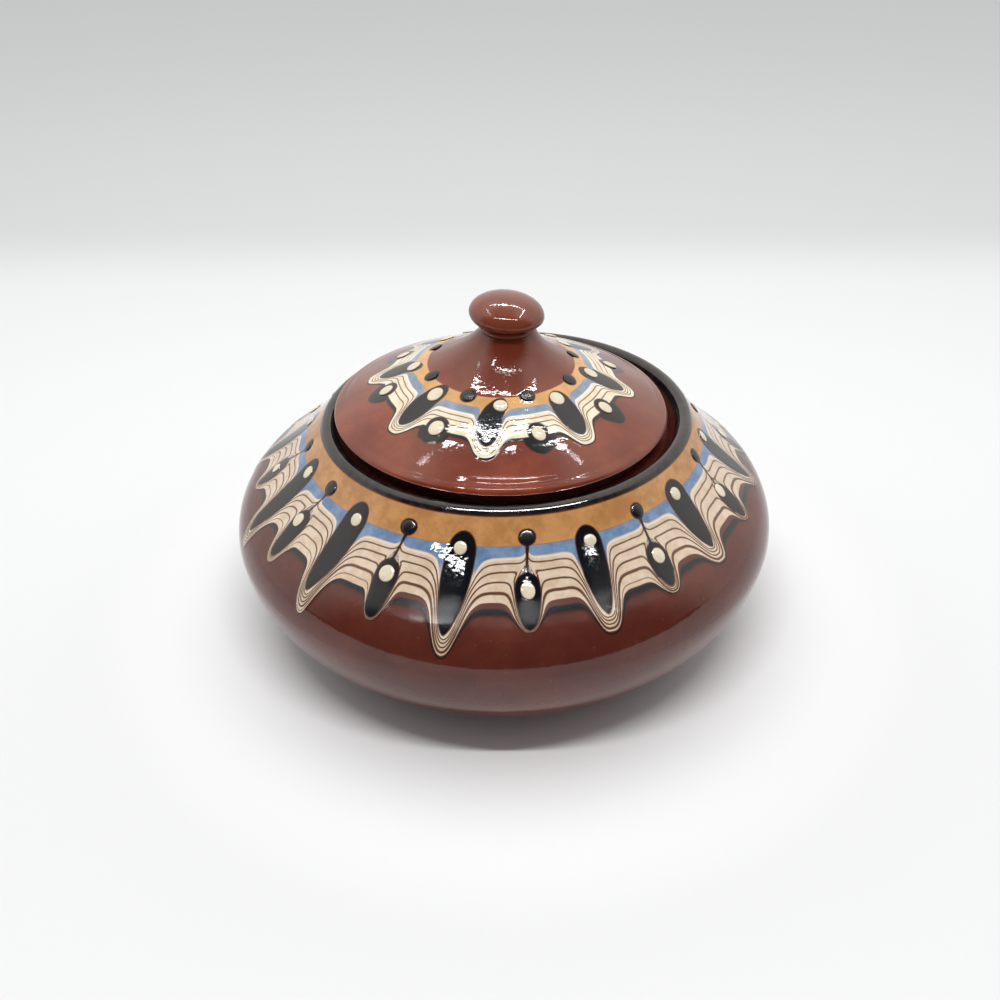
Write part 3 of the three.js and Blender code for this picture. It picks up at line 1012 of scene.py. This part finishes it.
lid = thrown("lid_thrown", lid_line, lid_down, 640, lid_glaze)
lid_radius, lid_height = outside_of(lid_line, lid_down, neck_row)
places, normals, downs, turns = points_of(lid)
top_side = (downs > 10) & (downs < 46)
flow, thin = laid_slips(lid_flow, lid_radius, turns, downs, top_side, 20)
black_shapes = [
    drip_outline(head, black_tip, half_width, [head, 25, slip], [top, bent, tip], lid_radius, 0.25, 2.6)
    for top, bent, tip, head, black_tip, slip, half_width in lid_big_drips
]
black_shapes += [oval(turn, dot_down, 5.8, 2.2, lid_radius) for turn, dot_down in lid_black_dots]
for turn, oval_down, half_turn, half_height, _, tip_turn, tip in lid_small_ovals:
    black_shapes.append(oval(turn, oval_down - 0.3, half_turn + 1.7, half_height + 0.9, lid_radius))
    run = np.array([32.0, 33.0, 34.5, 36.0, tip - 0.7, tip])
    widths = np.array([7.5, 7.8, 6.7, 5.0, 3.0, 0.4])
    black_shapes.append(outline_of(np.linspace(turn, tip_turn, len(run)), widths, run, lid_radius))
black_distance = nearest_shape(turns, downs, black_shapes, lid_radius, 20.0)
dot_shapes = [oval(*dot[:4], lid_radius) for dot in lid_cream_dots]
bead_distance = nearest_shape(turns, downs, dot_shapes, lid_radius, 14.0)
keep_fields(lid.data, flow=flow, black=black_distance, bead=bead_distance, thin=thin)


def lid_settled(places):
    """The lid lies a little to the left in its gallery and leans down to the right, its neck bent back."""
    slide = -1.5
    height = places[:, 2].copy()
    places[:, 2] += seat_slope * places[:, 0]
    places[:, 0] += slide + np.interp(height, [84.6, 88, 92, neck_height, 101.7], [0, 0.4, 1.2, 2.2, 1.8])
    return places


slips_cover = step(flow, 34.0, 31.0) * step(downs, 17.6, 18.6) * top_side
move_points(lid, lid_settled(raised(places, normals, slips_cover, black_distance)))
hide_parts("lid")
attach(lid, "lid")

lid_outside = (lid_radius, lid_height, lambda places, _: lid_settled(places))
lid_cream = slip_beads("lid_cream_beads", lid_cream_dots, cream_rise, lid_outside, cream_bead)
lid_black = slip_beads(
    "lid_black_beads", [(turn, down, 5.0, black_half_height, 0) for turn, down in lid_black_dots],
    black_rise, lid_outside, black_bead,
)
for piece in (lid_cream, lid_black):
    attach(piece, "lid")


# The knob is a separate lump of the same clay, luted onto the neck with slip and thrown to a mushroom, so a
# crease runs round under its cap.
cap_height = 101.7
knob_line = np.concatenate([
    [(0, neck_height), (4, neck_height)],
    arc((7.9, 98.05), 0.6, 0.85, -90, 90, 9),
    [(7.9, 99.3)],
    arc((7.9, cap_height), 3.0, 2.4, -90, 0, 9)[1:],
    arc((0, cap_height), 10.9, 5.7, 0, 90, 25)[1:],
])
knob_line[-1, 0] = 0
knob_glaze, tree, surface = named_material("knob redware")
# Painted light: the knob's clay is a lighter copy of the bowl's, painted light on its cap.
body = placed(tree, clay, Clay=colour(125, 61, 43), Deep=colour(104, 46, 32))[0]
tree.links.new(glazed(tree, surface, body, 0.6, 1.0), surface.inputs["Roughness"])
knob = thrown("lid_knob_thrown", knob_line, down_from(knob_line, -1), 192, knob_glaze)
places = points_of(knob)[0]
cap_lean = math.tan(math.radians(3.5))
places[:, 2] -= cap_lean * places[:, 0] * step(places[:, 2], 98.9, 101)
move_points(knob, lid_settled(places))
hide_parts("lid_knob")
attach(knob, "lid")

# Each strip of lights is kept to the piece it is seen in.
for lamps, pieces in (
    (bowl_strips, [bowl, bowl_cream, bowl_black]),
    (lid_strips, [lid, lid_cream, lid_black]),
    (knob_strips, [knob]),
):
    lit = bpy.data.collections.new("lit by " + lamps[0].name)
    for piece in pieces:
        lit.objects.link(piece)
    for lamp in lamps:
        lamp.light_linking.receiver_collection = lit
